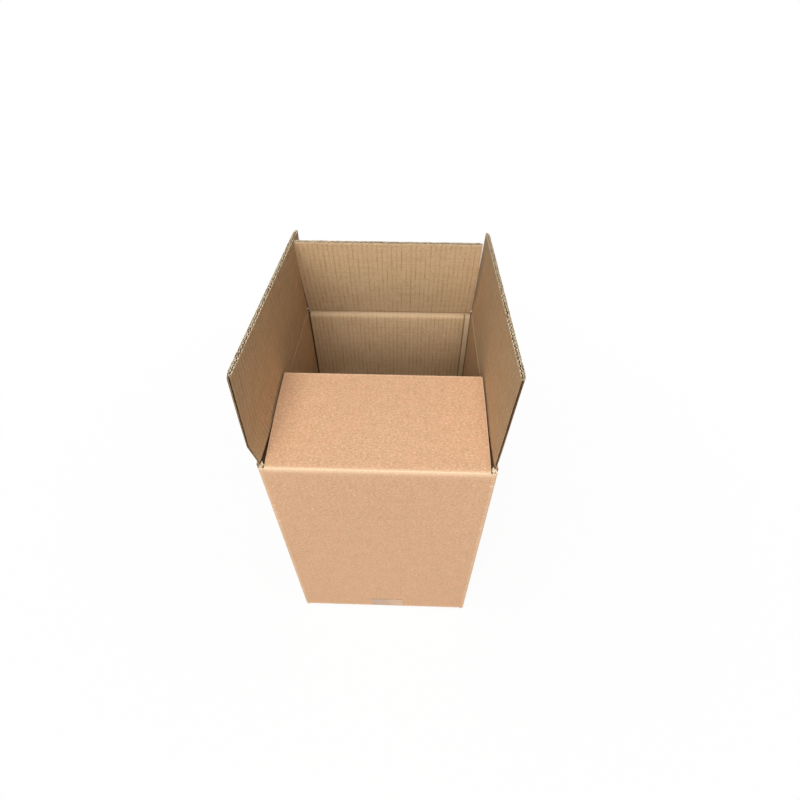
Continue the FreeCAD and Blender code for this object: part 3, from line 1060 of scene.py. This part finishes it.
def flap_board(panel):
    """The rest of the flap: five sheets of paper, worn at the cut."""
    half, length = flap_half[panel.kind], flap_length[panel.kind]
    points, faces, kinds = run_tree(
        fluted_board,
        width=2 * half,
        start=crush_length,
        end=length,
        rows=12,
        ragged=0.5 * MM,
        flute_shift=1.3 * list(panels).index(panel.name),
        pale_part=pale_part.get(panel.name, 0.0),
    )
    local = np.stack([points[:, 0], panel.crease + points[:, 1], points[:, 2]], 1)
    to_cut = np.minimum(length - points[:, 1], half - np.abs(points[:, 0]))
    wear = 0.6 * bell(np.maximum(to_cut, 0), 0.8 * MM)
    # painted shade: a dark line along the back flap's left edge, where the gap beside the left
    # flap lies in shade
    if panel.name == "back":
        gap_shade = bell(np.maximum(half + points[:, 0], 0), 2 * MM)
        wear = np.where(gap_shade > 0.2, -0.9 * gap_shade, wear)
    angles = angles_at(panel, points[:, 0])
    return scrap(panel, shaped(panel, local), faces, kinds, wear, angles)


for panel in panels.values():
    flap = make_piece(
        f"{panel.name}_flap_board", [flap_root(panel), flap_board(panel)]
    )
    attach(flap, f"{panel.name}_flap")
    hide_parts(f"top_flap_{panel.name}")


# %% The strip of crushed board that bends
bend_reach = 2 * MM
strip_reach = 2.6 * MM
strip_thickness = 1.1 * MM


def crease_strip(panel):
    """The joined liners, from just below a crease to just above it."""
    rises = np.linspace(-strip_reach, strip_reach, 15)
    sunk = 0.15 * MM * (np.abs(rises) / strip_reach) ** 4 - 0.05 * MM
    outer_line = np.stack([rises, groove(rises) + sunk], 1)
    inner_line = outer_line[::-1] + (0.0, strip_thickness)
    profile = np.concatenate([outer_line, inner_line])
    spans = len(rises) - 1
    kinds = [OUTSIDE] * spans + [CUT] + [INSIDE] * spans + [CUT]
    points, faces, finish = swept_along(panel, profile, kinds)
    share = ease(points[:, 1] - panel.crease, -bend_reach, bend_reach)
    angles = share * angles_at(panel, points[:, 0])
    # the pale band: stretched paper, and a painted highlight
    below = points[:, 1] < panel.crease
    reach = np.where(below, pale_reach[panel.kind], flap_pale)
    wear = bell(points[:, 1] - panel.crease, reach) * (0.5 if panel.kind == "side" else 1.0)
    points = stretched(panel, points)
    strip = scrap(panel, points, faces, finish, wear, angles)
    piece = make_piece(f"{panel.name}_crease", [strip], sharp=60)
    axis = np.array([0.0, panel.crease, crease_depth])
    bend = np.array([0.0, bend_reach, 0.0])
    before = panel.place(axis - bend)
    beyond = panel.place(panel.lean(axis + bend, lean[panel.name]))
    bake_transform(piece)


for panel in panels.values():
    crease_strip(panel)

# %% [markdown]
# ## Tape
#
# Clear packing tape holds the bottom shut. It is a film a tenth of a millimetre thick,
# so it shows by its gloss, its torn teeth and a wrinkle where it went on badly.


# %% Tape finish
def tape_finish():
    material, place = new_finish("clear_tape")
    patch = noise(place, 60, 3, 0.6)
    fine = noise(place, 500, 2, 0.6)
    tint, deep = rgb(190, 154, 124), rgb(176, 141, 112)
    colour = blend_colours(steps(patch, 0.35, 0.7), tint, deep)
    colour = stain(colour, fine, 0.5, 0.75, 0.3, rgb(214, 179, 148))
    # towards the right the film has wetted the kraft and all but vanishes
    wetted = one_of(place, 0)
    colour = stain(colour, wetted, 5 * MM, 18 * MM, 0.75, rgb(213, 170, 133))
    height = maths("ADD", patch, times(fine, 0.15))
    roughness = steps(patch, 0.3, 0.7, 0.16, 0.34)
    set_shader(colour, height, 0.3, 0.6 * MM, roughness, 0.5)
    return material


# %% The strip of tape
# how thick the film is, how far up it goes, where it bends, and how far off the floor
film = 0.1 * MM
tape_rise = 40 * MM
tape_bend = layer_step + fold_radius / 2
tape_lift = 0.05 * MM
# its way round the bottom fold: millimetres out and up from where it bends
tape_turn = [(-0.35, 0.6), (-1.2, -1.1), (-3, -3.4)]
tooth = 0.45 * MM
wrinkle_height = 0.45 * MM


def tape_path():
    """Points (y, z) of the tape's outer side, from the front's upper end to the back's."""
    # down the wall, round its fold, and slanting over the step to the outer flaps
    wall, inner = half_depth + film, half_depth - fold_reach
    run = [(wall, z) for z in np.linspace(tape_rise, 12 * MM, 12)]
    run += [(wall + out * MM, tape_bend + up * MM) for out, up in tape_turn]
    run += [(inner + 2 * MM, tape_lift + 2.2 * MM), (inner, tape_lift)]
    flat = [(y, tape_lift) for y in np.linspace(-inner, inner, 30)[1:-1]]
    front = [(-y, z) for y, z in run]
    return np.array(front + flat + run[::-1])


def seam_tape():
    path = tape_path()
    ahead = np.gradient(path, axis=0)
    ahead /= np.linalg.norm(ahead, axis=1)[:, None]
    inward = np.stack([-ahead[:, 1], ahead[:, 0]], 1)
    across = np.linspace(-tape_width / 2, tape_width / 2, 121)
    teeth = tooth * np.abs((np.arange(len(across)) % 4) - 2)
    grid = np.zeros((len(across), 2 * len(path), 3))
    for column, place in enumerate(across):
        line = path.copy()
        line[[0, -1], 1] -= teeth[column]
        # one slanting wrinkle near the front's upper end
        slope = place + tape_width / 2 - (tape_rise - line[:, 1]) * 0.9
        wrinkle = bell(slope, 1.6 * MM) * ease(line[:, 1], 24 * MM, 33 * MM)
        wrinkle *= (line[:, 0] < 0) * wrinkle_height
        outer = line - inward * wrinkle[:, None]
        inner = outer + inward * film
        grid[column, :, 0] = place + tape_shift
        grid[column, :, 1:] = np.concatenate([outer, inner[::-1]])
    # its one finish is number 0
    points, faces, finish = sweep(grid, [0] * grid.shape[1], 0)
    strip = scrap(None, points, faces, finish, 0.0)
    return make_piece("seam_tape", [strip], [tape_finish()])


tape = seam_tape()
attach(tape, "box")
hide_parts("bottom_tape")

# %% [markdown]
# ## Floor, light and camera
#
# The box stands on a plain pale floor under two large soft lamps and an even sky. The
# floor and the sky look white to the camera, but that white doesn't light the box, so
# the kraft keeps its own colour.

# %% Floor
def seen_rays(tree):
    """1 for a ray by which the camera sees a thing, straight or mirrored, else 0."""
    rays = tree.nodes.new("ShaderNodeLightPath").outputs
    seen = maths("MAXIMUM", rays["Is Camera Ray"], rays["Is Glossy Ray"])
    return maths("MAXIMUM", seen, rays["Is Transmission Ray"])


def floor_finish():
    material, place = new_finish("floor")
    tree = material.node_tree
    tree.nodes.remove(tree.nodes["Principled BSDF"])
    seen = seen_rays(tree)
    away = add("ShaderNodeVectorMath", [place], "Value", operation="LENGTH")
    amount = times(seen, steps(away, 0.3, 1.2, 0.92, 1.0))
    # the floor throws less light back at the box than its looks would
    shade = blend_colours(seen, (0.55, 0.55, 0.55, 1.0), (0.9, 0.9, 0.9, 1.0))
    matt = add("ShaderNodeBsdfDiffuse", {"Color": shade})
    white = wire(tree, "ShaderNodeEmission", {"Strength": 1.0})
    both = add("ShaderNodeMixShader", {0: amount, 1: matt, 2: white})
    fill(tree.nodes["Material Output"], {"Surface": both})
    return material


floor_mesh = bpy.data.meshes.new("floor")
reach = 15.0
corners = [(-reach, -reach, 0), (reach, -reach, 0), (reach, reach, 0), (-reach, reach, 0)]
floor_mesh.from_pydata(corners, [], [(0, 1, 2, 3)])
floor_mesh.materials.append(floor_finish())
floor = bpy.data.objects.new("floor", floor_mesh)
bpy.context.scene.collection.objects.link(floor)

# %% Sky
scene = bpy.context.scene
world = bpy.data.worlds.new("sky")
scene.world = world
world.use_nodes = True
tree = world.node_tree
tree.nodes.clear()
dim = wire(tree, "ShaderNodeBackground", {"Color": (0.8, 0.8, 0.8, 1.0), "Strength": 0.29})
white = wire(tree, "ShaderNodeBackground", {"Color": (1.0, 1.0, 1.0, 1.0), "Strength": 1.0})
sky = add("ShaderNodeMixShader", {0: seen_rays(tree), 1: dim, 2: white})
fill(tree.nodes.new("ShaderNodeOutputWorld"), {"Surface": sky})


# %% Two lamps
def soft_lamp(name, place, size, power):
    light = bpy.data.lights.new(name, "AREA")
    light.size = size
    light.energy = power
    lamp = bpy.data.objects.new(name, light)
    lamp.location = place
    lamp.rotation_euler = (lamp_target - lamp.location).to_track_quat("-Z", "Y").to_euler()
    scene.collection.objects.link(lamp)


lamp_target = Vector((0, 0, 0.3))
soft_lamp("front_lamp", (-0.9, -6.2, 2.9), 3.8, 262)
soft_lamp("top_lamp", (-0.15, -1.25, 4.1), 2.2, 101)

# %% Camera
camera_place = (0.0387, -0.5309, 0.9418)
yaw, pitch, roll = (math.radians(angle) for angle in (-1.5, 45.1, -0.2))
level = math.cos(pitch)
ahead = Vector((math.sin(yaw) * level, math.cos(yaw) * level, -math.sin(pitch)))
right = Vector((math.cos(yaw), -math.sin(yaw), 0.0))
down = ahead.cross(right)
across = right * math.cos(roll) + down * math.sin(roll)
upward = right * math.sin(roll) - down * math.cos(roll)
lens = bpy.data.cameras.new("camera")
lens.sensor_width = 36
lens.lens = 20.44
camera = bpy.data.objects.new("camera", lens)
turn = Matrix((across, upward, -ahead)).transposed().to_4x4()
camera.matrix_world = Matrix.Translation(camera_place) @ turn
scene.collection.objects.link(camera)
scene.camera = camera
scene.view_settings.view_transform = "Standard"
